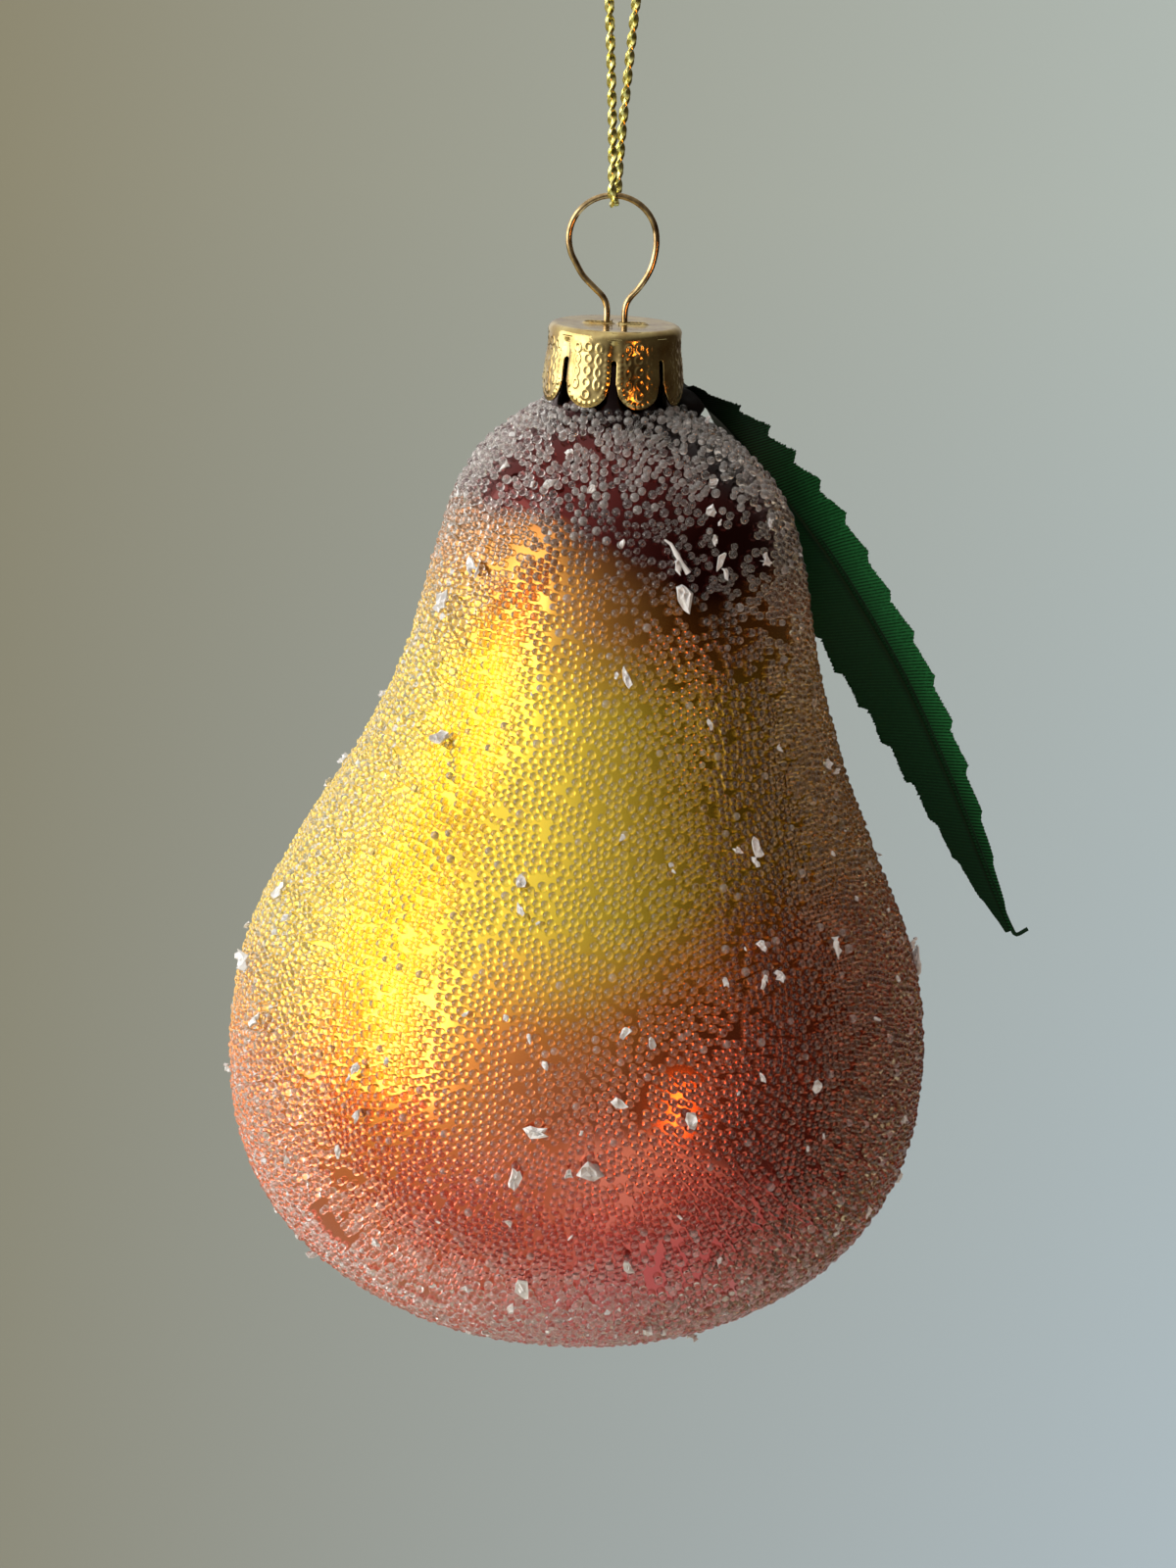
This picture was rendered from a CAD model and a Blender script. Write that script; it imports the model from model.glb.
"""A blown-glass pear ornament with a coat of clear glass beads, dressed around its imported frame."""

import math

import bmesh
import bpy
import numpy as np
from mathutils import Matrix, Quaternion, Vector


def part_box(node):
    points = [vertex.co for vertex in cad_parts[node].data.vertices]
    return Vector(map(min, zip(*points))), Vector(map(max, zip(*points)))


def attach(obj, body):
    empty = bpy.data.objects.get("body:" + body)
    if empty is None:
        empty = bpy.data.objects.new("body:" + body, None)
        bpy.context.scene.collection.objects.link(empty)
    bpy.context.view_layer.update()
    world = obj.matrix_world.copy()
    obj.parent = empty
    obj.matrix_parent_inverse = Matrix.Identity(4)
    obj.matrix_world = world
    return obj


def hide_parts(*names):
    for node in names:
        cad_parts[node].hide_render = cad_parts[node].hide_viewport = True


MM = 0.001

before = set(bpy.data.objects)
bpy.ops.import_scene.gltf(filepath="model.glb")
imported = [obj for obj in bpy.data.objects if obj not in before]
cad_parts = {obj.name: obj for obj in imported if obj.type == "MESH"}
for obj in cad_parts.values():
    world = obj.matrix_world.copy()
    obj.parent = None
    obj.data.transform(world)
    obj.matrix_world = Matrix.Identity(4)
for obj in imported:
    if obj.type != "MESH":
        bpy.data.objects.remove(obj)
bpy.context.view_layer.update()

# The part's own frame, in millimetres: the cap's flat top, and how far the pear reaches below it

CAP_TOP = -47.06
BODY_HEIGHT = 104.8


# Camera: looks down a little from the front, and is rolled as the photograph is

CAMERA_TARGET = Vector((-0.19, 0.0, -94.84)) * MM
CAMERA_DISTANCE = 0.9
CAMERA_PITCH = math.radians(11.0)
CAMERA_ROLL = math.radians(2.4)
CAMERA_SENSOR = 36.0
VIEW_HEIGHT = 0.161


def add_camera():
    data = bpy.data.cameras.new("camera")
    data.sensor_width = CAMERA_SENSOR
    data.lens = CAMERA_SENSOR * CAMERA_DISTANCE / VIEW_HEIGHT
    data.clip_start = 0.01
    data.clip_end = 20
    camera = bpy.data.objects.new("camera", data)
    bpy.context.scene.collection.objects.link(camera)
    back = Vector((0, -math.cos(CAMERA_PITCH), math.sin(CAMERA_PITCH)))
    camera.location = CAMERA_TARGET + back * CAMERA_DISTANCE
    camera.rotation_mode = "QUATERNION"
    camera.rotation_quaternion = back.to_track_quat("Z", "Y") @ Quaternion((0, 0, 1), CAMERA_ROLL)
    bpy.context.scene.camera = camera


# Curves and meshes


def smoothstep(low, high, at):
    t = np.clip((np.asarray(at, float) - low) / (high - low), 0.0, 1.0)
    return t * t * (3 - 2 * t)


def smooth_curve(points, count):
    """Evenly spaced places on a centripetal Catmull-Rom curve through the points."""
    points = np.asarray(points, float)
    first = 2 * points[0] - points[1]
    last = 2 * points[-1] - points[-2]
    p = np.vstack([first, points, last])
    fine = []
    for i in range(1, len(p) - 2):
        knots = [0.0]
        for a, b in ((i - 1, i), (i, i + 1), (i + 1, i + 2)):
            knots.append(knots[-1] + max(np.linalg.norm(p[b] - p[a]) ** 0.5, 1e-9))
        t = np.linspace(knots[1], knots[2], 40, endpoint=False)[:, None]
        a1 = blend_points(p[i - 1], p[i], knots[0], knots[1], t)
        a2 = blend_points(p[i], p[i + 1], knots[1], knots[2], t)
        a3 = blend_points(p[i + 1], p[i + 2], knots[2], knots[3], t)
        b1 = blend_points(a1, a2, knots[0], knots[2], t)
        b2 = blend_points(a2, a3, knots[1], knots[3], t)
        fine.append(blend_points(b1, b2, knots[1], knots[2], t))
    fine = np.vstack([*fine, points[-1:]])
    return evenly_spaced(fine, count)


def blend_points(a, b, start, end, t):
    return a * (end - t) / (end - start) + b * (t - start) / (end - start)


def evenly_spaced(points, count):
    gone = np.concatenate([[0], np.cumsum(np.linalg.norm(np.diff(points, axis=0), axis=1))])
    places = np.linspace(0, gone[-1], count)
    return np.stack([np.interp(places, gone, points[:, k]) for k in range(points.shape[1])], axis=1)


def unit(v):
    return v / np.maximum(np.linalg.norm(v, axis=-1, keepdims=True), 1e-12)


def add_mesh(name, places, faces, material, smooth=True):
    """A mesh object from places in millimetres and faces that all have the same number of corners."""
    places = np.asarray(places, float).reshape(-1, 3) * MM
    faces = np.asarray(faces, np.int32)
    corners = faces.shape[1]
    mesh = bpy.data.meshes.new(name)
    mesh.vertices.add(len(places))
    mesh.vertices.foreach_set("co", places.astype(np.float32).ravel())
    mesh.loops.add(faces.size)
    mesh.loops.foreach_set("vertex_index", faces.ravel())
    mesh.polygons.add(len(faces))
    mesh.polygons.foreach_set("loop_start", np.arange(0, faces.size, corners, dtype=np.int32))
    mesh.polygons.foreach_set("use_smooth", np.full(len(faces), smooth))
    mesh.update(calc_edges=True)
    mesh.validate()
    piece = bpy.data.objects.new(name, mesh)
    bpy.context.scene.collection.objects.link(piece)
    mesh.materials.append(material)
    return piece


def grid_faces(rows, columns, around=False):
    """Quads of a grid of places; around joins its last column to its first."""
    r = np.arange(rows - 1)[:, None]
    c = np.arange(columns if around else columns - 1)[None, :]
    after = (c + 1) % columns
    quads = [r * columns + c, r * columns + after, (r + 1) * columns + after, (r + 1) * columns + c]
    return np.stack(quads, axis=-1).reshape(-1, 4)


def carried_frames(line):
    """Two directions across a line at each of its places, carried along it without twist."""
    tangent = unit(np.gradient(line, axis=0))
    side = unit(np.cross(tangent[0], [0.0, 0.9, 0.1]))
    sides = [side]
    for t in tangent[1:]:
        side = unit(side - t * side.dot(t))
        sides.append(side)
    sides = np.array(sides)
    return sides, np.cross(tangent, sides)


def tube_grid(line, radius, around):
    """Rings of places round a line. radius is one value or one for each place of the line."""
    side, up = carried_frames(line)
    turn = np.linspace(0, 2 * math.pi, around, endpoint=False)[None, :, None]
    radius = np.broadcast_to(np.asarray(radius, float), (len(line),))[:, None, None]
    return line[:, None] + radius * (np.cos(turn) * side[:, None] + np.sin(turn) * up[:, None])


def capped_tube(line, radius, around):
    return closed_ends(tube_grid(line, radius, around))


def closed_ends(places):
    """Rings of a tube as places and quads, its ends drawn in to small rings."""
    rows, around = places.shape[:2]
    ends = [places[:1].mean(axis=1, keepdims=True), places[-1:].mean(axis=1, keepdims=True)]
    first = ends[0] + (places[:1] - ends[0]) * 0.02
    last = ends[1] + (places[-1:] - ends[1]) * 0.02
    places = np.concatenate([first, places, last])
    return places.reshape(-1, 3), grid_faces(rows + 2, around, around=True)


def merged(parts):
    """Several (places, faces) joined into one."""
    places, faces, offset = [], [], 0
    for p, f in parts:
        places.append(p)
        faces.append(f + offset)
        offset += len(p)
    return np.vstack(places), np.vstack(faces)


def triangles(quads):
    return np.vstack([quads[:, [0, 1, 2]], quads[:, [0, 2, 3]]])


# Materials


def add_group(name, inputs, outputs):
    """A shader node group with named sockets: (name, kind, default) in, (name, kind) out."""
    group = bpy.data.node_groups.new(name, "ShaderNodeTree")
    for socket, kind, value in inputs:
        made = group.interface.new_socket(name=socket, in_out="INPUT", socket_type=f"NodeSocket{kind}")
        made.default_value = value
    for socket, kind in outputs:
        group.interface.new_socket(name=socket, in_out="OUTPUT", socket_type=f"NodeSocket{kind}")
    entry = group.nodes.new("NodeGroupInput").outputs
    result = group.nodes.new("NodeGroupOutput").inputs
    return group, group.nodes, group.links, entry, result


def calculate(nodes, links, operation, a, b=0.0, c=0.0):
    node = nodes.new("ShaderNodeMath")
    node.operation = operation
    for socket, value in zip(node.inputs, (a, b, c)):
        if isinstance(value, (int, float)):
            socket.default_value = value
        else:
            links.new(value, socket)
    return node.outputs[0]


def mix_colors(nodes, links, share, a, b, kind="MIX"):
    node = nodes.new("ShaderNodeMix")
    node.data_type = "RGBA"
    node.blend_type = kind
    for socket, value in ((node.inputs[0], share), (node.inputs[6], a), (node.inputs[7], b)):
        if isinstance(value, (int, float)):
            socket.default_value = value
        elif isinstance(value, tuple):
            socket.default_value = (*value, 1.0)
        else:
            links.new(value, socket)
    return node.outputs[2]


def ramp(nodes, links, value, stops):
    """Colours by value: stops of (place, colour)."""
    node = nodes.new("ShaderNodeValToRGB")
    elements = node.color_ramp.elements
    while len(elements) < len(stops):
        elements.new(0.5)
    for element, (place, color) in zip(elements, stops):
        element.position = place
        element.color = (*color, 1.0)
    links.new(value, node.inputs["Fac"])
    return node.outputs["Color"]


def grain_group():
    """Noise on the surface, its patches about Size millimetres wide, and two colours spread by it."""
    group, nodes, links, entry, result = add_group(
        "grain",
        [
            ("Size", "Float", 1.0),
            ("Detail", "Float", 3.0),
            ("Dark", "Color", (0, 0, 0, 1)),
            ("Light", "Color", (1, 1, 1, 1)),
        ],
        [("Height", "Float"), ("Colour", "Color")],
    )
    texture = nodes.new("ShaderNodeTexNoise")
    texture.inputs["Roughness"].default_value = 0.55
    links.new(nodes.new("ShaderNodeTexCoord").outputs["Object"], texture.inputs["Vector"])
    links.new(calculate(nodes, links, "DIVIDE", 1.0 / MM, entry["Size"]), texture.inputs["Scale"])
    links.new(entry["Detail"], texture.inputs["Detail"])
    spread = ramp(nodes, links, texture.outputs["Fac"], [(0.33, (0, 0, 0)), (0.67, (1, 1, 1))])
    links.new(texture.outputs["Fac"], result["Height"])
    links.new(mix_colors(nodes, links, spread, entry["Dark"], entry["Light"]), result["Colour"])
    return group


SOOT = (0.012, 0.003, 0.003)
MAROON = (0.09, 0.008, 0.006)
AMBER = (0.68, 0.30, 0.05)
YELLOW = (0.97, 0.69, 0.06)
ORANGE = (0.98, 0.34, 0.06)
RED = (1.0, 0.26, 0.15)
DARK_RED = (0.74, 0.12, 0.12)
LACQUER = [
    (0.085, SOOT), (0.12, MAROON), (0.20, MAROON), (0.26, AMBER),
    (0.34, YELLOW), (0.54, YELLOW), (0.63, ORANGE), (0.75, RED), (0.93, DARK_RED),
]
LACQUER_MIDDLE = 0.36
LACQUER_WAVER = 14.0
LACQUER_CLOUD = 18.0
LACQUER_SIDE_REACH = 30.0

# Towards the right the colours below the middle of the yellow come sooner, and towards the left later
LACQUER_SPREAD = 0.40
LACQUER_SPREAD_LEAST = -0.65


def lacquer_group():
    """The lacquer's colour by height, browner towards the right, and that brown alone as a tint."""
    group, nodes, links, entry, result = add_group(
        "sprayed_lacquer",
        [("Side", "Color", (0.54, 0.30, 0.15, 1))],
        [("Colour", "Color"), ("Tint", "Color")],
    )
    place = nodes.new("ShaderNodeTexCoord").outputs["Object"]
    split = nodes.new("ShaderNodeSeparateXYZ")
    links.new(place, split.inputs[0])
    clouds = nodes.new("ShaderNodeTexNoise")
    clouds.inputs["Scale"].default_value = 1.0 / (LACQUER_CLOUD * MM)
    links.new(place, clouds.inputs["Vector"])
    cloud = clouds.outputs["Fac"]
    waver = calculate(nodes, links, "MULTIPLY_ADD", cloud, LACQUER_WAVER * MM, -LACQUER_WAVER / 2 * MM)
    height = calculate(nodes, links, "ADD", split.outputs["Z"], waver)
    down = -1.0 / (BODY_HEIGHT * MM)
    depth = calculate(nodes, links, "MULTIPLY_ADD", height, down, CAP_TOP / BODY_HEIGHT)
    right = calculate(nodes, links, "MULTIPLY", split.outputs["X"], 1.0 / (LACQUER_SIDE_REACH * MM))
    sideways = calculate(nodes, links, "MAXIMUM", right, LACQUER_SPREAD_LEAST)
    spread = calculate(nodes, links, "MULTIPLY_ADD", sideways, LACQUER_SPREAD, 1.0)
    from_yellow = calculate(nodes, links, "SUBTRACT", depth, LACQUER_MIDDLE)
    stretched = calculate(nodes, links, "MULTIPLY_ADD", from_yellow, spread, LACQUER_MIDDLE)
    color = ramp(nodes, links, stretched, LACQUER)
    side = ramp(nodes, links, right, [(0.1, (0, 0, 0)), (0.9, (0.9, 0.9, 0.9))])
    shaded = mix_colors(nodes, links, 1.0, color, entry["Side"], "MULTIPLY")
    links.new(mix_colors(nodes, links, side, color, shaded), result["Colour"])
    links.new(mix_colors(nodes, links, side, (1.0, 1.0, 1.0), entry["Side"]), result["Tint"])
    return group


def place_group(nodes, group, **values):
    """A group placed in a material with its own values."""
    node = nodes.new("ShaderNodeGroup")
    node.node_tree = group
    for socket, value in values.items():
        node.inputs[socket].default_value = (*value, 1.0) if isinstance(value, tuple) else value
    return node


def plain_material(name, color, roughness=0.5, metallic=0.0, **more):
    """A material whose Principled shader is set directly, with its nodes, links and shader."""
    material = bpy.data.materials.new(name)
    material.use_nodes = True
    nodes, links = material.node_tree.nodes, material.node_tree.links
    shader = nodes["Principled BSDF"]
    shader.inputs["Base Color"].default_value = (*color, 1.0)
    shader.inputs["Roughness"].default_value = roughness
    shader.inputs["Metallic"].default_value = metallic
    for socket, value in more.items():
        shader.inputs[socket.replace("_", " ")].default_value = value
    return material, nodes, links, shader


def bump(nodes, links, shader, height, strength, distance):
    node = nodes.new("ShaderNodeBump")
    node.inputs["Strength"].default_value = strength
    node.inputs["Distance"].default_value = distance * MM
    links.new(height, node.inputs["Height"])
    links.new(node.outputs["Normal"], shader.inputs["Normal"])


def mottled_metal(name, dark, light, size, roughness, dent_size, dent):
    """A metal whose colour drifts between two tones, with fine dents."""
    material, nodes, links, shader = plain_material(name, light, roughness=roughness, metallic=1.0)
    tone = place_group(nodes, GRAIN, Size=size, Dark=dark, Light=light)
    links.new(tone.outputs["Colour"], shader.inputs["Base Color"])
    dents = place_group(nodes, GRAIN, Size=dent_size)
    bump(nodes, links, shader, dents.outputs["Height"], 0.2, dent)
    return material, nodes, links, shader


GRAIN = grain_group()
LACQUER_COLOR = lacquer_group()


def lacquered_glass():
    """Silvered glass under see-through lacquer, sprayed from maroon through yellow to red."""
    material, nodes, links, shader = plain_material(
        "lacquered_glass", YELLOW, roughness=0.18, metallic=1.0, Coat_Weight=0.3, Coat_Roughness=0.03
    )
    color = place_group(nodes, LACQUER_COLOR)
    links.new(color.outputs["Colour"], shader.inputs["Base Color"])
    return material


def clear_bead_glass():
    """Clear glass beads, a little browner towards the right like the lacquer beneath them."""
    material, nodes, links, shader = plain_material(
        "clear_beads", (1.0, 1.0, 1.0), roughness=0.015, Transmission_Weight=0.97, IOR=1.5
    )
    color = place_group(nodes, LACQUER_COLOR, Side=(0.76, 0.64, 0.46))
    links.new(color.outputs["Tint"], shader.inputs["Base Color"])
    return material


def frosted_bead_glass():
    """Beads whitened by glue over them, most of them near the cap and the bottom."""
    material, *_ = plain_material(
        "frosted_beads", (1.0, 0.98, 0.96), roughness=0.03, Transmission_Weight=0.83, IOR=1.5
    )
    return material


def flake_glass():
    material, nodes, links, shader = plain_material(
        "snow_flake", (0.98, 0.97, 0.97), roughness=0.25, Transmission_Weight=0.1, IOR=1.4
    )
    grain = place_group(nodes, GRAIN, Size=0.4)
    bump(nodes, links, shader, grain.outputs["Height"], 0.5, 0.1)
    return material


def stamped_gold():
    material, nodes, links, shader = mottled_metal(
        "gold_cap", (0.36, 0.23, 0.08), (0.66, 0.53, 0.23), 2.5, 0.14, 0.8, 0.12
    )
    dull = place_group(nodes, GRAIN, Size=0.6, Dark=(0.09,) * 3, Light=(0.22,) * 3)
    links.new(dull.outputs["Colour"], shader.inputs["Roughness"])
    return material


LEAF_GREENS = [(0.0, (0.002, 0.010, 0.004)), (0.5, (0.018, 0.13, 0.045)), (1.0, (0.055, 0.50, 0.15))]
LEAF_SHADOW = (0.0008, 0.005, 0.002)


def ribbed_satin():
    """Dark green satin. The rib attribute is 1 on a rib's crest and 0 between ribs."""
    material, nodes, links, shader = plain_material(
        "leaf_fabric", (0.01, 0.10, 0.04), roughness=0.5, Specular_IOR_Level=0.12
    )
    rib = nodes.new("ShaderNodeAttribute")
    rib.attribute_name = "rib"
    light = nodes.new("ShaderNodeAttribute")
    light.attribute_name = "lightness"
    threads = place_group(nodes, GRAIN, Size=0.25, Dark=(0.45, 0.5, 0.45), Light=(0.55, 0.6, 0.55))
    crest = ramp(nodes, links, light.outputs["Fac"], LEAF_GREENS)
    base = mix_colors(nodes, links, rib.outputs["Fac"], LEAF_SHADOW, crest)
    worn = mix_colors(nodes, links, 0.5, base, threads.outputs["Colour"], "SOFT_LIGHT")
    links.new(worn, shader.inputs["Base Color"])
    bump(nodes, links, shader, threads.outputs["Height"], 0.2, 0.05)
    return material


def gold_foil():
    """The cord's foil thread, its colour drifting between shade and glint."""
    material, *_ = mottled_metal("gold_cord", (0.45, 0.35, 0.02), (1.0, 0.94, 0.38), 0.5, 0.16, 0.12, 0.02)
    return material


def coppery_wire():
    material, *_ = mottled_metal("gold_wire", (0.20, 0.12, 0.05), (0.72, 0.54, 0.28), 1.2, 0.12, 0.5, 0.02)
    return material


def dull_material(name, color, roughness, grain):
    """A plain dark surface with little shine, mottled to half its brightness."""
    material, nodes, links, shader = plain_material(
        name, color, roughness=roughness, Specular_IOR_Level=0.15
    )
    tone = place_group(nodes, GRAIN, Size=grain, Dark=tuple(0.5 * c for c in color), Light=color)
    links.new(tone.outputs["Colour"], shader.inputs["Base Color"])
    bump(nodes, links, shader, tone.outputs["Height"], 0.3, 0.2)
    return material


def green_wrapping():
    """The thread wound on the leaf's wire."""
    return dull_material("green_wire", (0.01, 0.05, 0.02), 0.6, 0.5)


def dried_glue():
    return dull_material("dark_glue", (0.010, 0.010, 0.010), 0.75, 0.7)


# The glass pear. Its outline is the frame's: radius, and depth under the cap's top

NECK_RADIUS = 5.75
NECK_BORE = 4.85
RIM_DEPTH = 0.65
GLASS_SIDES = 160
GLASS_WALL = 0.9
BODY_OUTLINE = [
    (5.85, 7.0), (6.5, 8.4), (9.0, 10.1), (12.3, 12.6),
    (15.9, 17.2), (18.3, 24.4), (20.4, 34.0), (24.0, 44.0),
    (29.2, 54.5), (33.6, 64.5), (35.15, 75.0), (33.4, 86.2), (27.8, 95.0), (17.4, 101.8), (8.5, 104.2),
]
STEM_X = 0.63
BODY_LEAN = [
    (11, STEM_X), (14, 1.4), (18, 2.0), (25, 2.1), (35, 1.75),
    (43, 1.2), (51, 0.25), (59, -0.2), (104, -0.3),
]
OUTLINE_STEPS = 400


def body_lean(z):
    depths, places = zip(*BODY_LEAN)
    depth = CAP_TOP - np.asarray(z, float)
    return sum(np.interp(depth + reach, depths, places) for reach in (-3, 0, 3)) / 3


def glass_outline():
    """Radius and height of the glass's outside from its bottom up to the neck."""
    points = [(0.0, BODY_HEIGHT), *BODY_OUTLINE[::-1]]
    line = smooth_curve([(r, CAP_TOP - depth) for r, depth in points], OUTLINE_STEPS)
    line[:, 0] = np.maximum(line[:, 0], 0.0)
    return line


class Surface:
    """The glass's outside, by arc length from its bottom and bearing from the front towards +X."""

    def __init__(self):
        self.line = glass_outline()
        steps = np.linalg.norm(np.diff(self.line, axis=0), axis=1)
        self.arc = np.concatenate([[0], np.cumsum(steps)])
        along = unit(np.gradient(self.line, axis=0))
        self.normal = np.stack([along[:, 1], -along[:, 0]], axis=1)

    def radius(self, arc):
        return np.interp(arc, self.arc, self.line[:, 0])

    def arc_at(self, z):
        return np.interp(z, self.line[:, 1], self.arc)

    def at(self, arc, bearing):
        """Places and outward directions."""
        r, z = self.radius(arc), np.interp(arc, self.arc, self.line[:, 1])
        out_r, out_z = (np.interp(arc, self.arc, self.normal[:, k]) for k in (0, 1))
        across, back = np.sin(bearing), -np.cos(bearing)
        places = np.stack([body_lean(z) + r * across, r * back, z], axis=-1)
        return places, unit(np.stack([out_r * across, out_r * back, out_z], axis=-1))


surface = Surface()


def add_glass(material):
    """The blown glass with its neck and its hollow inside, turned from one outline."""
    outer = surface.line[4:]
    rim = CAP_TOP - RIM_DEPTH
    inner = (surface.line - GLASS_WALL * surface.normal)[6:-30:3]
    inner = inner[(inner[:, 0] > NECK_BORE) | (inner[:, 1] < -120)]
    foot = outer[-1, 1]
    neck = [(NECK_RADIUS, foot + 1), (NECK_RADIUS, rim), (NECK_BORE, rim), (NECK_BORE, foot + 0.4)]
    first, last = (0.02, CAP_TOP - BODY_HEIGHT), (0.02, inner[0, 1])
    outline = np.vstack([[first], outer, neck, inner[::-1], [last]])
    turn = np.linspace(0, 2 * math.pi, GLASS_SIDES, endpoint=False)
    r, z = outline[:, :1], np.repeat(outline[:, 1:], GLASS_SIDES, axis=1)
    places = np.stack([body_lean(z) + r * np.cos(turn), r * np.sin(turn), z], axis=-1)
    piece = add_mesh("blown_glass", places, grid_faces(len(outline), GLASS_SIDES, around=True), material)
    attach(piece, "pear")
    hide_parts("glass_pear")


# Beads

BEAD_SIZES = (0.36, 0.50)
BEAD_SINK_TOP = 0.04
BEAD_SINK_LOW = 0.15
BEAD_SEEDS = 1400
BEAD_SPARE = 60000
BEAD_TOP = CAP_TOP - 8.1

# The clear and the whitened beads are split into patches, so that none is too heavy for the export
BEAD_PATCHES = 10
FROSTED_PATCHES = 3
BEAD_BOUNCES = 24

# Share of whitened beads anywhere, and its most near the cap and the bottom, with heights of start and full
FROSTED_SHARE = 0.03
FROSTED_TOP = (0.75, -70.0, -58.0)
FROSTED_BOTTOM = (0.5, -130.0, -148.0)


def wavy(places, seed, length):
    """Smooth noise from -1 to 1, with patches about length millimetres wide."""
    random = np.random.default_rng(seed)
    waves = unit(random.normal(size=(14, 3))) * (2 * math.pi / (2.2 * length))
    waves *= random.uniform(0.6, 1.5, (14, 1))
    phase = random.uniform(0, 2 * math.pi, 14)
    return np.sin(places @ waves.T + phase).sum(axis=1) / 4.2


# Thin places of the coat: bearing in degrees, depth under the cap's top, reach, and share left out
THIN_PLACES = [
    (44, 19.5, 6.5, 0.62), (56, 15.5, 5.5, 0.45), (30, 26.0, 6.0, 0.40),
    (44, 29.0, 6.0, 0.40), (10, 26.0, 4.0, 0.25),
    (-50, 15.0, 2.2, 0.75), (-28, 12.0, 1.6, 0.8), (-16, 11.0, 1.3, 0.7), (52, 22.0, 3.0, 0.6),
    (-50, 90.0, 3.5, 0.9), (-34, 96.5, 3.0, 0.85), (-42, 84.0, 4.0, 0.35),
    (20, 92.0, 5.0, 0.35), (35, 96.0, 4.0, 0.4),
    (60, 30.0, 3.0, 0.5), (130, 35.0, 4.5, 0.7), (200, 80.0, 4.0, 0.8),
    (160, 16.0, 4.0, 0.7), (250, 60.0, 3.0, 0.6),
]


def left_out(places):
    """Which beads are missing: many in the thin places, and a few in ragged little gaps everywhere."""
    bare = np.full(len(places), 0.05) + 0.12 * smoothstep(-75, -60, places[:, 2])
    for bearing, depth, reach, share in THIN_PLACES:
        arc = surface.arc_at(CAP_TOP - depth)
        centre, _ = surface.at(np.array([arc]), np.array([math.radians(bearing)]))
        away = np.linalg.norm(places - centre[0], axis=1)
        bare = np.maximum(bare, share * np.exp(-((away / reach) ** 4)))
    clumps = 0.5 + 0.5 * np.clip(1.3 * wavy(places, 5, 1.1), -1, 1)
    chance = np.random.default_rng(29).uniform(0, 1, len(places))
    return 0.35 * chance + 0.65 * clumps < bare


class BeadTray:
    """Beads laid so far, kept by cells of space so that a bead's neighbours are found fast."""

    def __init__(self, random):
        self.random = random
        self.cell = 2 * BEAD_SIZES[1]
        self.cells = {}
        self.beads = []
        self.top = surface.arc_at(BEAD_TOP)

    def around(self, x, y, z):
        i, j, k = int(x // self.cell), int(y // self.cell), int(z // self.cell)
        for a in (i - 1, i, i + 1):
            for b in (j - 1, j, j + 1):
                for c in (k - 1, k, k + 1):
                    yield from self.cells.get((a, b, c), ())

    def lay(self, arcs, bearings, radii):
        """Lays each bead that fits at its place on the glass, and gives the ones laid."""
        inside = (arcs > 0.3) & (arcs < self.top)
        arcs, bearings, radii = arcs[inside], bearings[inside], radii[inside]
        places, out = surface.at(arcs, bearings)
        low = smoothstep(-66, -80, places[:, 2])
        sink = BEAD_SINK_TOP + (BEAD_SINK_LOW - BEAD_SINK_TOP) * low
        places = places + out * (radii - sink)[:, None]
        laid = []
        columns = (column.tolist() for column in (places, radii, arcs, bearings))
        for (x, y, z), r, arc, bearing in zip(*columns):
            for bx, by, bz, br, *_ in self.around(x, y, z):
                near = 0.975 * (r + br)
                if (x - bx) ** 2 + (y - by) ** 2 + (z - bz) ** 2 < near * near:
                    break
            else:
                bead = (x, y, z, r, arc, bearing)
                key = (int(x // self.cell), int(y // self.cell), int(z // self.cell))
                self.cells.setdefault(key, []).append(bead)
                self.beads.append(bead)
                laid.append(bead)
        return laid

    def nests(self, laid):
        """Places of new beads that would touch a bead just laid and one of its neighbours."""
        found = []
        for x, y, z, r, arc, bearing in laid:
            ring = max(float(surface.radius(arc)), 0.5)
            size = self.random.uniform(*BEAD_SIZES)
            slack = self.random.uniform(0.98, 1.2)
            for *_, other_r, other_arc, other_bearing in self.around(x, y, z):
                u = other_arc - arc
                v = (math.remainder(other_bearing - bearing, 2 * math.pi)) * ring
                gap = math.hypot(u, v)
                near, far = slack * (r + size), slack * (other_r + size)
                if 0.1 < gap < near + far:
                    along = (near * near - far * far + gap * gap) / (2 * gap)
                    aside = near * near - along * along
                    if aside > 0:
                        for way in (-math.sqrt(aside), math.sqrt(aside)):
                            du, dv = (along * u - way * v) / gap, (along * v + way * u) / gap
                            found.append((arc + du, bearing + dv / ring, size))
        found = np.array(found).reshape(-1, 3)
        return found[self.random.permutation(len(found))].T


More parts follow.
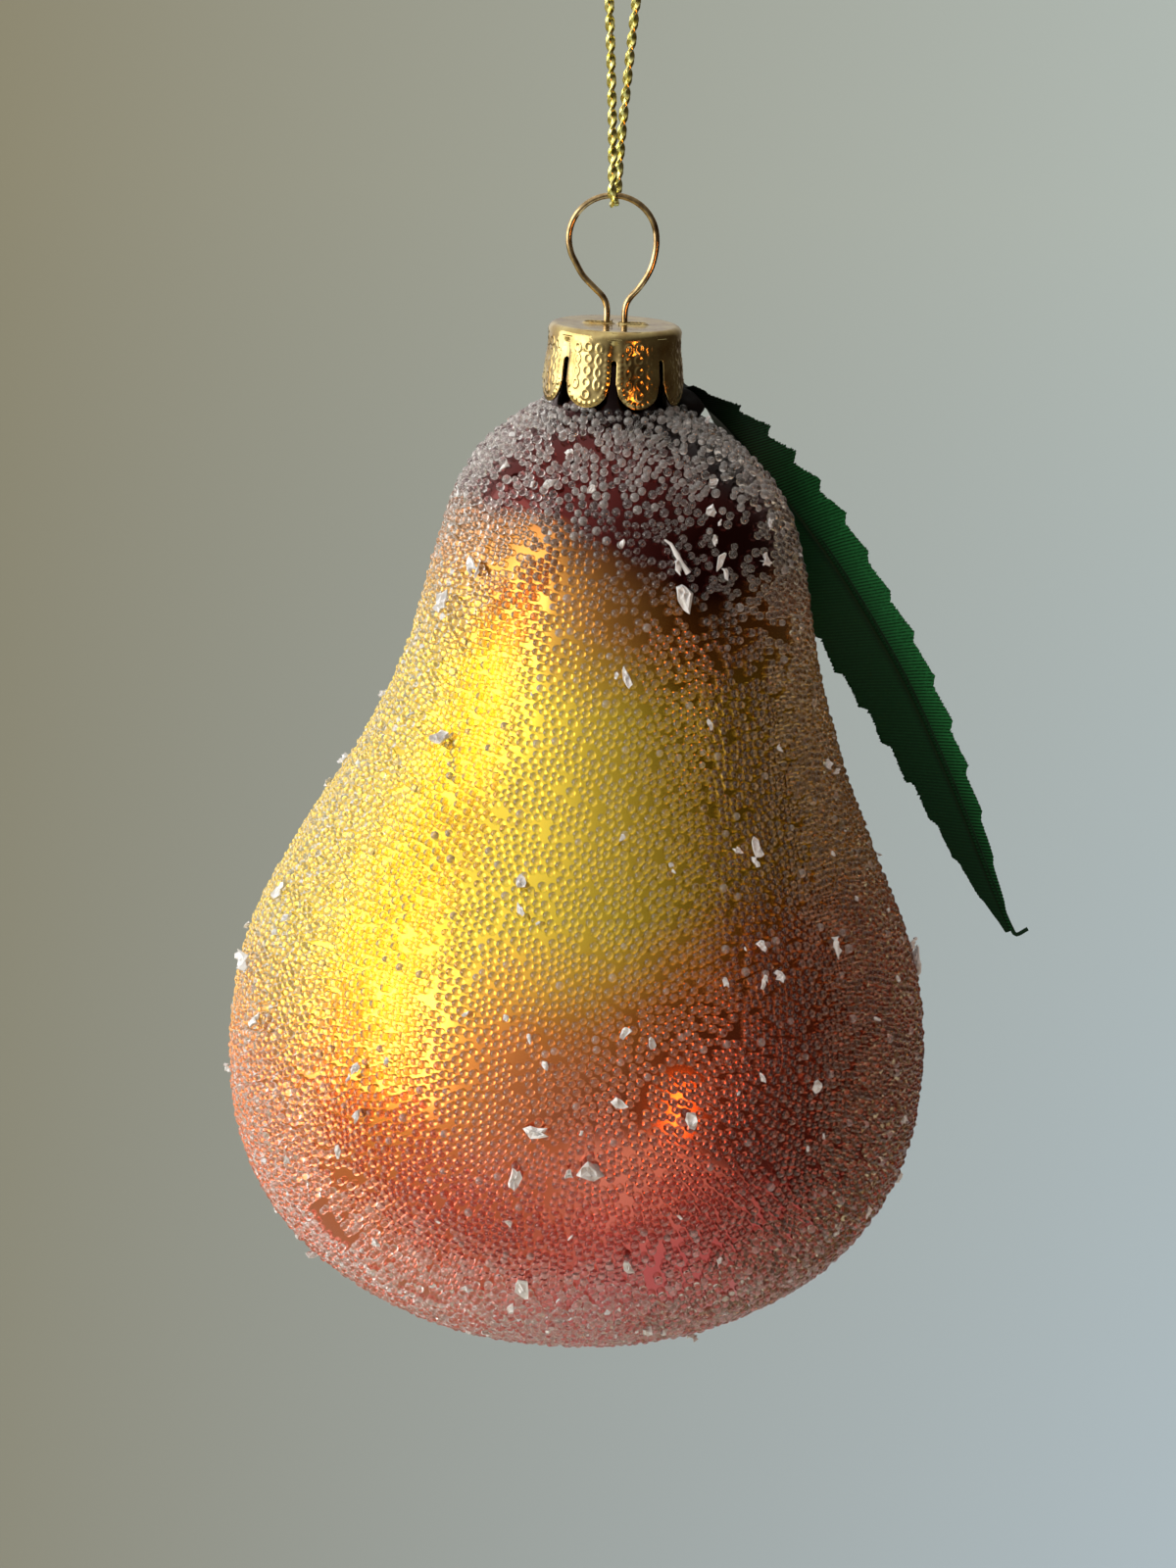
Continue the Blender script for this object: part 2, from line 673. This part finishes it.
def lay_beads():
    """Centres and radii of beads set side by side on the glass, none in another."""
    random = np.random.default_rng(11)
    tray = BeadTray(random)
    weight = np.cumsum(surface.radius(surface.arc))

    def scattered(count):
        arcs = np.interp(random.uniform(0, weight[-1], count), weight, surface.arc)
        return arcs, random.uniform(0, 2 * math.pi, count)

    arcs, bearings = scattered(BEAD_SEEDS)
    pairs = np.repeat(arcs, 2), np.repeat(bearings, 2)
    shift = np.tile([0.0, 2.05 * BEAD_SIZES[0]], BEAD_SEEDS)
    laid = tray.lay(pairs[0] + shift, pairs[1], np.full(2 * BEAD_SEEDS, BEAD_SIZES[0]))
    while laid:
        laid = tray.lay(*tray.nests(laid))
    tray.lay(*scattered(BEAD_SPARE), 0.9 * random.uniform(*BEAD_SIZES, BEAD_SPARE))
    return np.array(tray.beads)[:, :4]


def ball(subdivisions):
    """Places and triangles of a small round bead."""
    shape = bmesh.new()
    bmesh.ops.create_icosphere(shape, subdivisions=subdivisions, radius=1.0)
    places = np.array([v.co[:] for v in shape.verts])
    faces = np.array([[v.index for v in f.verts] for f in shape.faces])
    shape.free()
    return places, faces


def add_bead_patch(name, beads, material):
    form, faces = ball(2)
    places = beads[:, None, :3] + beads[:, None, 3:] * form[None]
    index = faces[None] + (np.arange(len(beads)) * len(form))[:, None, None]
    piece = add_mesh(name, places, index.reshape(-1, 3), material)
    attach(piece, "pear")
    return piece


def add_beads(clear, frosted):
    """The whole coat in patches from the bottom up, each bead a small ball of its own."""
    beads = lay_beads()
    beads = beads[~left_out(beads[:, :3])]
    beads = beads[np.argsort(beads[:, 2])]
    chance = np.random.default_rng(31).uniform(0, 1, len(beads))
    share = np.full(len(beads), FROSTED_SHARE)
    for most, start, full in (FROSTED_TOP, FROSTED_BOTTOM):
        share = np.maximum(share, most * smoothstep(start, full, beads[:, 2]))
    whitened = chance < share
    for patch, own in enumerate(np.array_split(beads[~whitened], BEAD_PATCHES)):
        piece = add_bead_patch(f"beads_{patch + 1}", own, clear)
        if patch == 0:
            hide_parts("bead_coat")
    for patch, own in enumerate(np.array_split(beads[whitened], FROSTED_PATCHES)):
        add_bead_patch(f"frosted_beads_{patch + 1}", own, frosted)


# Snow flakes


def shard(random, length, width, height=0.12):
    """A thin crumpled shard with torn edges, flat in its own X and Y."""
    corners = random.integers(7, 13)
    turn = (np.arange(corners) + random.uniform(-0.35, 0.35, corners)) * 2 * math.pi / corners
    reach = random.uniform(0.45, 1.0, corners)
    edge = np.stack([length / 2 * reach * np.cos(turn), width / 2 * reach * np.sin(turn)], axis=1)
    rings = [edge * share for share in (0.02, 0.4, 0.75, 1.0)]
    top = [np.column_stack([ring, random.normal(0, 0.13 * width, corners)]) for ring in rings]
    under = [ring - [0, 0, height] for ring in top[::-1]]
    places = np.vstack([*top, *under])
    return places, triangles(grid_faces(8, corners, around=True))


def laid_on(places, spot, out, turn, tilt):
    """Turns a flat shape about its middle, tips it and sets it on the surface."""
    side = unit(np.cross(out, [math.sin(turn), math.cos(turn), 0.3]))
    ahead = np.cross(out, side)
    leaning = unit(out + tilt[0] * side + tilt[1] * ahead)
    side = unit(side - leaning * side.dot(leaning))
    ahead = np.cross(leaning, side)
    return spot + places[:, :1] * side + places[:, 1:2] * ahead + places[:, 2:] * leaning


SMALL_FLAKES = 170
FLAKE_GROWTH = 1.45

# The twig: bearing in degrees and height of its points, and its radius at each
TWIG = [(14.5, -66.6), (16.5, -67.0), (18.0, -68.0), (19.5, -68.8), (21.5, -69.8)]
TWIG_RADII = [0.1, 0.16, 0.26, 0.2, 0.3]


def twig():
    """The one long thin flake, bent along the glass."""
    heights, bearings = (np.array(v, float) for v in zip(*[(z, math.radians(turn)) for turn, z in TWIG]))
    spots, outs = surface.at(surface.arc_at(heights), bearings)
    places, quads = capped_tube(spots + outs * 1.05, TWIG_RADII, 7)
    return places, triangles(quads)


def add_flakes(material):
    """The frame's flakes, each at its own place, small ones strewn between them, and the twig."""
    random = np.random.default_rng(23)
    shards = []
    named = sorted(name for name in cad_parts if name.startswith("snow_flake"))
    for name in named:
        low, high = (np.array(corner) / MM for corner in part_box(name))
        middle = (low + high) / 2
        bearing = math.atan2(middle[0] - body_lean(middle[2]), -middle[1])
        spot, out = surface.at(np.array([surface.arc_at(middle[2])]), np.array([bearing]))
        long_way = min(np.linalg.norm(high - low), 3.0)
        places, faces = shard(random, long_way * FLAKE_GROWTH, long_way * random.uniform(0.6, 1.0))
        tilt = random.normal(0, 0.22, 2)
        turn = random.uniform(0, 7)
        shards.append((laid_on(places, spot[0] + out[0] * 1.1, out[0], turn, tilt), faces))
    weight = np.cumsum(surface.radius(surface.arc))
    arcs = np.interp(random.uniform(0, weight[-1], SMALL_FLAKES), weight, surface.arc)
    bearings = random.uniform(0, 7, SMALL_FLAKES)
    spots, outs = surface.at(np.minimum(arcs, surface.arc_at(BEAD_TOP - 1)), bearings)
    for spot, out in zip(spots, outs):
        size = random.uniform(0.5, 2.0)
        places, faces = shard(random, size, size * random.uniform(0.4, 0.8), 0.08)
        tilt = random.normal(0, 0.35, 2)
        shards.append((laid_on(places, spot + out * 1.0, out, random.uniform(0, 7), tilt), faces))
    shards.append(twig())
    piece = add_mesh("snow", *merged(shards), material, smooth=False)
    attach(piece, "pear")
    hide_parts(*named)


# Cap

PETALS = 8
CAP_HEIGHT = 7.8
CAP_EDGE = 0.8
CAP_PROFILE = [
    (0.8, 6.82), (1.6, 6.82), (2.3, 6.78), (2.9, 6.84),
    (3.6, 6.98), (5.0, 7.13), (6.6, 7.18), (7.8, 7.08),
]
SLOT_TOP = 2.9
SLOT_HALF = 0.29
PETAL_ROUND = 2.4
PETAL_COLUMNS = 45
LEG_SLOT = (0.98, 1.5, 0.65)


def cap_radius(depth):
    depths, radii = zip(*CAP_PROFILE)
    return sum(np.interp(depth + shift, depths, radii) for shift in (-0.12, -0.04, 0.04, 0.12)) / 4


def petal_half_width(depth):
    """Half the width of a petal at a depth, along the cap's outside."""
    whole = math.pi * cap_radius(depth) / PETALS
    start = SLOT_TOP + SLOT_HALF
    rounded = np.sqrt(np.clip(SLOT_HALF**2 - np.clip(start - depth, 0, SLOT_HALF) ** 2, 0, None))
    slot = np.where(depth > SLOT_TOP, rounded, 0.0)
    below = np.clip(depth - (CAP_HEIGHT - PETAL_ROUND), 0, PETAL_ROUND)
    tip = np.sqrt(np.clip(PETAL_ROUND**2 - below**2, 0, None))
    return np.where(below > 0, np.minimum(whole - slot, tip), whole - slot)


def petal_relief(x, depth):
    """Height of the stamped pattern: a dotted border and rows of small oval rings."""
    edge = (petal_half_width(np.minimum(depth, SLOT_TOP)) - np.abs(x)) / 0.5
    relief = -0.16 * np.exp(-(edge**2)) * smoothstep(0.5, 1.6, depth)
    inset = 0.42
    dots = []
    for step in range(7):
        place = 2.3 + 0.56 * step
        reach = petal_half_width(np.array(place))
        slot_inset = inset if place > SLOT_TOP else inset + SLOT_HALF
        dots += [(side * (reach - slot_inset), place) for side in (-1, 1)]
    for step in range(-5, 6):
        turn = step * 0.29
        reach = PETAL_ROUND - inset
        dots.append((reach * math.sin(turn), CAP_HEIGHT - PETAL_ROUND + reach * math.cos(turn)))
    for dot_x, dot_depth in dots:
        away = ((x - dot_x) ** 2 + (depth - dot_depth) ** 2) / 0.2**2
        relief += 0.08 * np.exp(-away)
    for column, first, wide in ((-1.2, 1.75, 0.30), (0.0, 1.6, 0.40), (1.2, 1.75, 0.30)):
        for row in range(5 if column == 0 else 4):
            away = np.hypot((x - column) / wide, (depth - first - 1.2 * row) / 0.46)
            relief += 0.07 * np.exp(-(((away - 1) / 0.3) ** 2)) * smoothstep(0.9, 1.2, depth)
    return relief


def petal_sheet(number):
    """One petal with its share of the collar, as a grid of places."""
    straight = np.concatenate([np.linspace(0.8, SLOT_TOP, 22), SLOT_TOP + np.linspace(0.01, SLOT_HALF, 6)])
    lower = np.linspace(SLOT_TOP + SLOT_HALF + 0.08, CAP_HEIGHT - PETAL_ROUND, 22)
    turn = np.linspace(0.03, math.pi / 2 - 0.02, 26)
    tip = CAP_HEIGHT - PETAL_ROUND + PETAL_ROUND * np.sin(turn)
    depth = np.concatenate([straight, lower, tip])[:, None]
    across = np.linspace(-1, 1, PETAL_COLUMNS)[None, :]
    x = petal_half_width(depth) * across
    depth = np.broadcast_to(depth, x.shape)
    radius = cap_radius(depth)
    bearing = (number + 0.5) * 2 * math.pi / PETALS + x / radius
    radius = radius + petal_relief(x, depth)
    x, y = STEM_X + radius * np.sin(bearing), -radius * np.cos(bearing)
    return np.stack([x, y, CAP_TOP - depth], axis=-1)


def leg_slot_distance(x, y):
    """Distance outside the nearer of the two holes for the wire's legs."""
    first, run, half = LEG_SLOT
    along = np.clip(np.abs(x), first, first + run)
    return np.hypot(np.abs(x) - along, y) - half


def cap_top_sheet():
    """The flat top with its rounded edge, and faces left out at the two leg holes."""
    turn = np.linspace(0, math.pi / 2, 9)
    flat = np.concatenate([np.linspace(0.05, 3.4, 42), np.linspace(3.5, 5.8, 10)])
    radius = np.concatenate([flat, CAP_PROFILE[0][1] - CAP_EDGE + CAP_EDGE * np.sin(turn)])[:, None]
    depth = np.concatenate([np.zeros(len(flat)), CAP_EDGE * (1 - np.cos(turn))])[:, None]
    step = 2 * math.pi / PETALS
    within = np.linspace(-0.5, 0.5, PETAL_COLUMNS)[:-1]
    bearing = ((np.arange(PETALS)[:, None] + 0.5 + within) * step).reshape(1, -1)
    x, y = radius * np.sin(bearing), -radius * np.cos(bearing)
    away = leg_slot_distance(x, y)
    z = CAP_TOP - depth + 0.2 * np.exp(-((away / 0.22) ** 2)) - 0.06 * smoothstep(5.4, 3.0, radius)
    shift = 0.02
    pull = np.where(np.abs(away) < 0.045, away, 0.0)
    slope_x = (leg_slot_distance(x + shift, y) - away) / shift
    slope_y = (leg_slot_distance(x, y + shift) - away) / shift
    x, y = x - pull * slope_x, y - pull * slope_y
    faces = grid_faces(len(radius), bearing.size, around=True)
    open_face = away.reshape(-1)[faces].mean(axis=1) < 0
    places = np.stack([STEM_X + x, y, z], axis=-1).reshape(-1, 3)
    return places, faces[~open_face]


def add_cap(material):
    rows = len(petal_sheet(0))
    parts = [(petal_sheet(k).reshape(-1, 3), grid_faces(rows, PETAL_COLUMNS)) for k in range(PETALS)]
    parts = [(p, f[:, ::-1]) for p, f in parts]
    top, faces = cap_top_sheet()
    places, faces = merged([*parts, (top, faces[:, ::-1])])
    piece = add_mesh("stamped_cap", places, faces, material)
    weld_and_thicken(piece, 0.28)
    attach(piece, "cap")
    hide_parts("cap")


def weld_and_thicken(piece, thickness):
    weld = piece.modifiers.new("weld", "WELD")
    weld.merge_threshold = 0.004 * MM
    wall = piece.modifiers.new("wall", "SOLIDIFY")
    wall.thickness = thickness * MM
    wall.offset = -1.0
    apply_modifiers(piece)


def apply_modifiers(piece):
    bpy.context.view_layer.update()
    shown = piece.evaluated_get(bpy.context.evaluated_depsgraph_get())
    mesh = bpy.data.meshes.new_from_object(shown)
    piece.modifiers.clear()
    piece.data = mesh


# Wire hanger

WIRE_DIA = 0.65
EYE_DEPTH = 34.0
EYE_RADIUS = 4.45
EYE_LEFT = [(-3.66, -41.0), (-2.87, -42.3), (-1.73, -43.45), (-0.75, -44.4)]
EYE_RIGHT = [(4.37, -39.8), (4.08, -41.1), (3.55, -42.3), (2.80, -43.45), (2.0, -44.4)]
STEM_HALF = 0.98
STEM_RISE = 1.8
ARM_SPLAY = 4.225
ARM_LENGTH = 22.0


def wire_route():
    under = CAP_TOP - 0.35

    def arm(side):
        return [
            (STEM_X + side * (ARM_SPLAY - 0.5), 0, under - ARM_LENGTH),
            (STEM_X + side * ARM_SPLAY, 0, under - ARM_LENGTH * 0.7),
            (STEM_X + side * ARM_SPLAY, 0, under - 7.5),
            (STEM_X + side * (STEM_HALF + 0.5), 0, under - 1.2),
            (STEM_X + side * STEM_HALF, 0, under),
            (STEM_X + side * STEM_HALF, 0, CAP_TOP + STEM_RISE),
        ]

    left, right = ([(x, 0, z) for x, z in side] for side in (EYE_LEFT, EYE_RIGHT))
    turn = np.radians(np.linspace(200, 0, 11))
    eye = [(EYE_RADIUS * math.cos(t), 0, -EYE_DEPTH - EYE_RADIUS + EYE_RADIUS * math.sin(t)) for t in turn]
    return [*arm(-1), *left[::-1], *eye, *right, *arm(1)[::-1]]


def add_wire(material):
    line = smooth_curve(wire_route(), 420)
    piece = add_mesh("drawn_wire", *capped_tube(line, WIRE_DIA / 2, 16), material)
    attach(piece, "hanger")
    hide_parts("wire_hanger")


# Cord: two plies twisted together, down one strand, under the wire of the eye and up the other

CORD_DIA = 0.95
CORD_LAY = 3.8
PLIES = 2
PLY_CORNERS = 20
PLY_FLATNESS = 0.4
CORD_ROUTE = [
    (-0.75, 0, 2.1), (-1.5, 0, 0.6), (-2.2, 0, -1.6),
    (-2.15, 0, -4.5), (-1.75, -0.1, -9), (-1.4, -0.2, -13.6),
    (-0.95, -0.45, -20), (-0.5, -0.75, -27), (-0.3, -1.0, -31.5),
    (-0.25, -1.2, -33.6), (-0.12, -0.74, -34.5),
    (0, 0, -34.9), (0.12, 0.74, -34.5), (0.25, 1.2, -33.6), (0.3, 1.0, -31.5), (0.5, 0.75, -27),
    (0.95, 0.45, -20), (1.4, 0.2, -13.6), (1.75, 0.1, -9), (2.15, 0, -4.5), (2.2, 0, -1.6), (1.5, 0, 0.6),
    (0.75, 0, 2.1),
]
KNOT_SIZE = 0.5
TAIL_LENGTHS = (4.6, 3.4)


def twisted_plies(line):
    """The plies of a twisted cord round a line. Each is a foil thread with flat sides."""
    gone = np.concatenate([[0], np.cumsum(np.linalg.norm(np.diff(line, axis=0), axis=1))])
    side, up = carried_frames(line)
    around = np.linspace(0, 2 * math.pi, PLY_CORNERS, endpoint=False)
    wide, thick = (np.sign(v) * np.abs(v) ** PLY_FLATNESS for v in (np.cos(around), np.sin(around)))
    parts = []
    for ply in range(PLIES):
        turn = (2 * math.pi * (gone / CORD_LAY + ply / PLIES))[:, None]
        outward = (np.cos(turn) * side + np.sin(turn) * up)[:, None]
        onward = (np.cos(turn) * up - np.sin(turn) * side)[:, None]
        reach = 0.215 + 0.285 * wide[None, :, None]
        places = line[:, None] + CORD_DIA * (reach * outward + 0.255 * thick[None, :, None] * onward)
        parts.append(closed_ends(places))
    return merged(parts)


def line_length(line):
    return float(np.linalg.norm(np.diff(line, axis=0), axis=1).sum())


def knot_lines():
    """The overhand knot's loop and its two tails."""
    middle = CORD_ROUTE[0][2] + 0.3 + CORD_DIA / 2 + 3 * KNOT_SIZE
    t = math.pi / 2 + 0.02 + np.linspace(0, 1, 19) * (2 * math.pi - 0.04)
    loop = np.stack(
        [
            KNOT_SIZE * (np.sin(t) + 2 * np.sin(2 * t)),
            -1.3 * KNOT_SIZE * np.sin(3 * t),
            middle + KNOT_SIZE * (np.cos(t) - 2 * np.cos(2 * t)),
        ],
        axis=1,
    )
    top = middle + 3 * KNOT_SIZE
    lines = [smooth_curve(loop, 200)]
    for side, length in zip((-1, 1), TAIL_LENGTHS):
        tail = [
            (side * 0.2, side * 0.3, top - 2.4),
            (side * 0.5, side * 0.4, top - 0.4),
            (side * 0.9, side * 0.35, top + length * 0.5),
            (side * 1.5, side * 0.2, top + length),
        ]
        lines.append(smooth_curve(tail, 90))
    return lines


def add_cord(material):
    knot = add_mesh("knot", *merged([twisted_plies(line) for line in knot_lines()]), material)
    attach(knot, "cord")
    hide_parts("cord_knot")
    line = smooth_curve(CORD_ROUTE, 900)
    cord = add_mesh("twisted_cord", *twisted_plies(line), material)
    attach(cord, "cord")
    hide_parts("hanging_cord")
    [tuple(v * MM for v in p) for p in smooth_curve(CORD_ROUTE, 240)]


# Leaf

LEAF_FOLD = [
    (7.8, 2.5, -53.8), (12.7, 7.3, -58.5), (18.4, 11.3, -65.6), (23.8, 13.6, -72.5), (28.2, 15.0, -79.0),
    (32.6, 16.2, -86.3), (38.0, 17.2, -97.3), (42.6, 17.8, -107.8), (44.7, 18.0, -112.2),
]
LEAF_HOOK = [(45.4, 18.4, -112.6), (46.6, 18.2, -111.9)]
LEAF_HALF_WIDTH = 5.8
GLUE_HEIGHT = -56.0
GLUE_BEARING = 107.0
GLUE_SIZE = (2.2, 2.0, 1.6)
LEAF_SPREAD = [
    (0, 0.2), (0.05, 0.40), (0.15, 0.52), (0.25, 0.67),
    (0.35, 0.9), (0.45, 1), (0.55, 0.965), (0.7, 0.76),
    (0.85, 0.48), (0.95, 0.22), (1, 0.05),
]
LEAF_TEETH = 14
LEAF_TOOTH = 0.95
LEAF_TOOTH_INNER = 0.6
LEAF_FOLD_ANGLE = 62
LEAF_TWIST = 58
LEAF_ROWS = 760
LEAF_SIDE_COLUMNS = 20
RIB_PITCH = 0.38
RIB_SLANT = 0.5
RIB_HEIGHT = 0.07
LEAF_SHEET = 0.14


def turned(vectors, axes, angles):
    """Vectors turned about axes, row by row."""
    c, s = np.cos(angles)[:, None], np.sin(angles)[:, None]
    dot = (vectors * axes).sum(axis=1, keepdims=True)
    return vectors * c + np.cross(axes, vectors) * s + axes * dot * (1 - c)


def leaf_half_width(share):
    shares, spread = zip(*LEAF_SPREAD)
    return LEAF_HALF_WIDTH * sum(np.interp(share + step, shares, spread) for step in (-0.02, 0, 0.02)) / 3


def leaf_tooth(share, shift):
    """How far the edge stands out along the leaf: each tooth swells to its point, then steps back."""
    t = ((share - 0.03) / 0.94 * LEAF_TEETH + shift) % 1.0
    return np.where(t < 0.86, (t / 0.86) ** 1.3, 1 - (t - 0.86) / 0.14)


def add_glue(material):
    """The dark dab that holds the leaf, lumpy and flat on the glass."""
    form, faces = ball(4)
    form = form * (1 + 0.07 * wavy(3 * form, 8, 1.4))[:, None]
    bearing = np.array([math.radians(GLUE_BEARING)])
    spot, out = surface.at(np.array([surface.arc_at(GLUE_HEIGHT)]), bearing)
    places = laid_on(form * GLUE_SIZE, spot[0] + 0.7 * out[0], out[0], 0.0, (0.0, 0.0))
    piece = add_mesh("dark_glue", places, faces, material)
    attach(piece, "pear")
    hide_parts("leaf_glue")


def add_leaf_wire(material):
    """The wire along the back of the fold, ending in a small hook at the leaf's tip."""
    line = smooth_curve([np.add(p, (0.25, 0.55, 0.2)) for p in LEAF_FOLD[1:]] + LEAF_HOOK, 200)
    piece = add_mesh("leaf_stiffener", *capped_tube(line, 0.22, 10), material)
    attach(piece, "leaf")
    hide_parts("leaf_wire")


def leaf_cloth(fold, share):
    """Places of the folded cloth, and how far each is on a rib's crest and how light it is."""
    along = unit(np.gradient(fold, axis=0))
    centre = np.column_stack([body_lean(fold[:, 2]), np.zeros(LEAF_ROWS), fold[:, 2]])
    radial = (fold - centre) * [1, 1, 0]
    across = unit(np.cross(unit(radial), along))
    inner = turned(across, along, -math.radians(LEAF_TWIST) * smoothstep(0.05, 0.5, share))
    outer = turned(inner, along, np.full(LEAF_ROWS, math.radians(180 - LEAF_FOLD_ANGLE)))
    length = line_length(fold)
    taper = np.minimum(1, np.minimum(4 * (1 - share), 6 * share + 0.2))
    random = np.random.default_rng(3)
    places, ribs, lightness = [], [], []
    shade = smoothstep(0.02, 0.2, share) * (0.5 + 0.5 * smoothstep(0.15, 0.45, share))
    shade *= 1 - 0.35 * smoothstep(0.65, 0.95, share)
    for column in np.linspace(-1, 1, 2 * LEAF_SIDE_COLUMNS + 1):
        arm, shift, tooth = (inner, 0.35, LEAF_TOOTH_INNER) if column < 0 else (outer, 0.0, LEAF_TOOTH)
        edge = leaf_half_width(share) + tooth * (leaf_tooth(share, shift) - 0.6) * taper
        edge = np.maximum(edge + 0.08 * random.standard_normal(LEAF_ROWS) * taper, 0.2)
        reach = edge * abs(column)
        phase = 2 * math.pi * (share * length - RIB_SLANT * reach * np.sign(column)) / RIB_PITCH
        rib = 0.5 + (0.5 if column > 0 else 0.2) * np.sin(phase)
        own_face = unit(np.cross(along, arm)) * (1 if column < 0 else -1)
        places.append(fold + arm * reach[:, None] + own_face * (RIB_HEIGHT * (rib - 0.5))[:, None])
        ribs.append(rib)
        glow = 0.55 + 0.45 * column if column > 0 else 0.38 + 0.1 * column
        lightness.append(shade * glow * (0.4 + 0.6 * smoothstep(0.0, 0.15, abs(column))))
    return (np.stack(values, axis=1) for values in (places, ribs, lightness))


def add_leaf(material):
    fold = smooth_curve(LEAF_FOLD, LEAF_ROWS)
    share = np.linspace(0, 1, LEAF_ROWS)
    places, ribs, lightness = leaf_cloth(fold, share)
    piece = add_mesh("satin_leaf", places, grid_faces(*ribs.shape), material)
    for name, values in (("rib", ribs), ("lightness", lightness)):
        attribute = piece.data.attributes.new(name, "FLOAT", "POINT")
        attribute.data.foreach_set("value", values.astype(np.float32).ravel())
    wall = piece.modifiers.new("cloth", "SOLIDIFY")
    wall.thickness = LEAF_SHEET * MM
    wall.offset = 0.0
    apply_modifiers(piece)
    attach(piece, "leaf")
    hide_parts("leaf_blade")


# Room: a roll of pale paper as floor, a window with its glow at the left, a dim warm lamp at the right

FLOOR_HEIGHT = -320.0
FLOOR_FRONT = -600.0
FLOOR_BACK = 6000.0
FLOOR_LEFT = -900.0
FLOOR_RIGHT = 330.0
FLOOR_TONE = [(0.12, (0.375, 0.378, 0.274)), (0.88, (0.68, 0.86, 0.96))]
FLOOR_SHADE = [(0.04, (1.1, 1.0, 0.9)), (0.15, (0.79, 0.77, 0.78)), (0.8, (0.98, 0.90, 0.78))]
WALL_TONE = [(0.15, (0.055, 0.045, 0.035)), (0.6, (0.40, 0.38, 0.35)), (0.85, (1.0, 0.98, 0.95))]
DAYLIGHT = (1.0, 0.97, 0.90)
LAMPLIGHT = (1.0, 0.34, 0.06)


def add_floor():
    """Its tone falls off sideways as the camera sees it, and changes with depth."""
    material, nodes, links, shader = plain_material("floor", (0.6, 0.62, 0.6), roughness=0.9)
    split = nodes.new("ShaderNodeSeparateXYZ")
    links.new(nodes.new("ShaderNodeTexCoord").outputs["Object"], split.inputs[0])
    away = calculate(nodes, links, "ADD", split.outputs["Y"], CAMERA_DISTANCE)
    sideways = calculate(nodes, links, "DIVIDE", split.outputs["X"], away)
    sideways = calculate(nodes, links, "MULTIPLY_ADD", sideways, 5.2, 0.5)
    tone = ramp(nodes, links, sideways, FLOOR_TONE)
    depth = calculate(nodes, links, "MULTIPLY", split.outputs["Y"], 0.35)
    shade = ramp(nodes, links, depth, FLOOR_SHADE)
    links.new(mix_colors(nodes, links, 1.0, tone, shade, "MULTIPLY"), shader.inputs["Base Color"])
    front = [(x, FLOOR_FRONT, FLOOR_HEIGHT) for x in (FLOOR_LEFT, FLOOR_RIGHT)]
    back = [(x, FLOOR_BACK, FLOOR_HEIGHT) for x in (FLOOR_RIGHT, FLOOR_LEFT)]
    floor = add_mesh("floor", [*front, *back], [(0, 1, 2, 3)], material)


def let_light_bounce():
    """Light is thrown about inside the beads more often than a plain scene needs."""
    light_paths = bpy.context.scene.cycles
    light_paths.max_bounces = BEAD_BOUNCES
    light_paths.glossy_bounces = BEAD_BOUNCES
    light_paths.transmission_bounces = BEAD_BOUNCES


def add_area_light(name, place, aim, size, power, color):
    data = bpy.data.lights.new(name, "AREA")
    data.shape = "RECTANGLE"
    data.size, data.size_y = size
    data.energy = power
    data.color = color
    light = bpy.data.objects.new(name, data)
    light.location = place
    light.rotation_mode = "QUATERNION"
    light.rotation_quaternion = (Vector(place) - Vector(aim)).to_track_quat("Z", "Y")
    bpy.context.scene.collection.objects.link(light)


def add_lights():
    aim = (0, 0, -0.1)
    add_area_light("window", (-0.74, -0.46, -0.06), aim, (0.5, 0.5), 0.95, DAYLIGHT)
    add_area_light("window_glow", (-0.97, -0.20, 0.0), aim, (1.3, 1.1), 9.0, DAYLIGHT)
    add_area_light("warm_glow", (0.42, -0.62, -0.24), aim, (0.07, 0.20), 0.5, LAMPLIGHT)


def add_world():
    """A pale wall behind and at the left, and a dark room in front and at the right."""
    world = bpy.data.worlds.new("room")
    bpy.context.scene.world = world
    world.use_nodes = True
    nodes, links = world.node_tree.nodes, world.node_tree.links
    split = nodes.new("ShaderNodeSeparateXYZ")
    links.new(nodes.new("ShaderNodeTexCoord").outputs["Generated"], split.inputs[0])
    toward = calculate(nodes, links, "MULTIPLY_ADD", split.outputs["Y"], 0.11, 0.5)
    sideways = calculate(nodes, links, "MULTIPLY_ADD", split.outputs["X"], -0.55, toward)
    upward = calculate(nodes, links, "MULTIPLY_ADD", split.outputs["Z"], 0.30, sideways)
    color = ramp(nodes, links, upward, WALL_TONE)
    links.new(color, nodes["Background"].inputs["Color"])
    nodes["Background"].inputs["Strength"].default_value = 1.0


add_camera()
add_cord(gold_foil())
add_glass(lacquered_glass())
add_beads(clear_bead_glass(), frosted_bead_glass())
add_flakes(flake_glass())
add_cap(stamped_gold())
add_wire(coppery_wire())
add_leaf(ribbed_satin())
add_leaf_wire(green_wrapping())
add_glue(dried_glue())
add_floor()
add_lights()
add_world()
let_light_bounce()

bpy.context.scene.view_settings.view_transform = "Standard"
